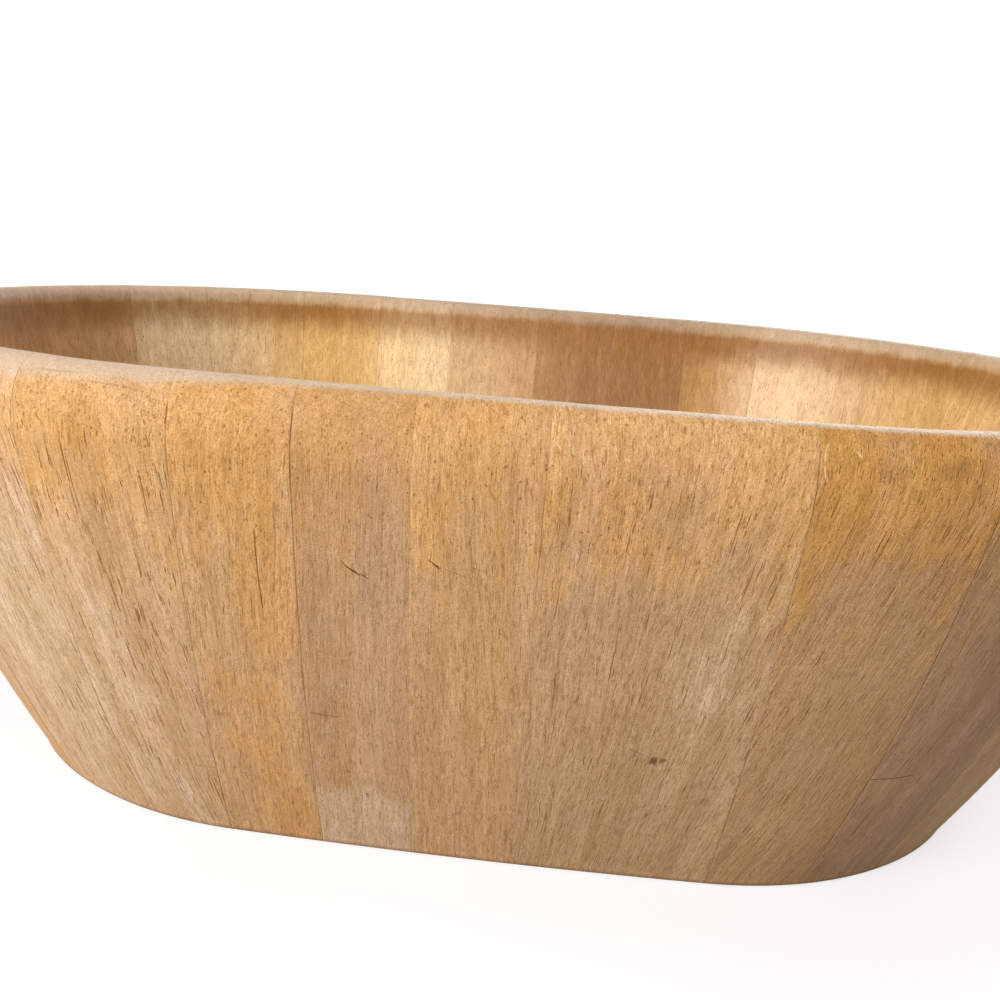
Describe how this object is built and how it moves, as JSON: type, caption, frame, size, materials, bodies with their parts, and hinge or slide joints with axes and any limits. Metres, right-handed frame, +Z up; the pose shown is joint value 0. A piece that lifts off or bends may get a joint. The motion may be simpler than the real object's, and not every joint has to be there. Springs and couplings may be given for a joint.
{
  "type": "dough bowl",
  "caption": "Oval wooden dough bowl with flared sides, built of upright staves round a let-in flat bottom.",
  "frame": {"origin": "the middle of the underside, on the surface that the bowl stands on", "axes": "+X along the bowl's length, +Y across it towards the back long side, +Z up through the mouth"},
  "size_m": [0.373, 0.262, 0.124],
  "materials": {
    "honey_wood": "satin",
    "pinkish_wood": "satin",
    "tan_wood": "satin",
    "grey_brown_wood": "satin",
    "cream_wood": "satin"
  },
  "bodies": {
    "root": {"stave_01": "honey_wood", "stave_02": "pinkish_wood", "stave_03": "tan_wood", "stave_04": "tan_wood", "stave_05": "honey_wood", "stave_06": "grey_brown_wood", "stave_07": "tan_wood", "stave_08": "pinkish_wood", "stave_09": "honey_wood", "stave_10": "grey_brown_wood", "stave_11": "tan_wood", "stave_12": "grey_brown_wood", "stave_13": "honey_wood", "stave_14": "pinkish_wood", "stave_15": "tan_wood", "stave_16": "grey_brown_wood", "stave_17": "pinkish_wood", "stave_18": "honey_wood", "stave_19": "tan_wood", "stave_20": "grey_brown_wood", "stave_21": "pinkish_wood", "stave_22": "honey_wood", "stave_23": "tan_wood", "stave_24": "grey_brown_wood", "stave_25": "pinkish_wood", "stave_26": "tan_wood", "stave_27": "cream_wood", "stave_28": "honey_wood", "bottom_board_1": "tan_wood", "bottom_board_2": "honey_wood", "bottom_board_3": "pinkish_wood", "bottom_board_4": "tan_wood"}
  },
  "joints": []
}
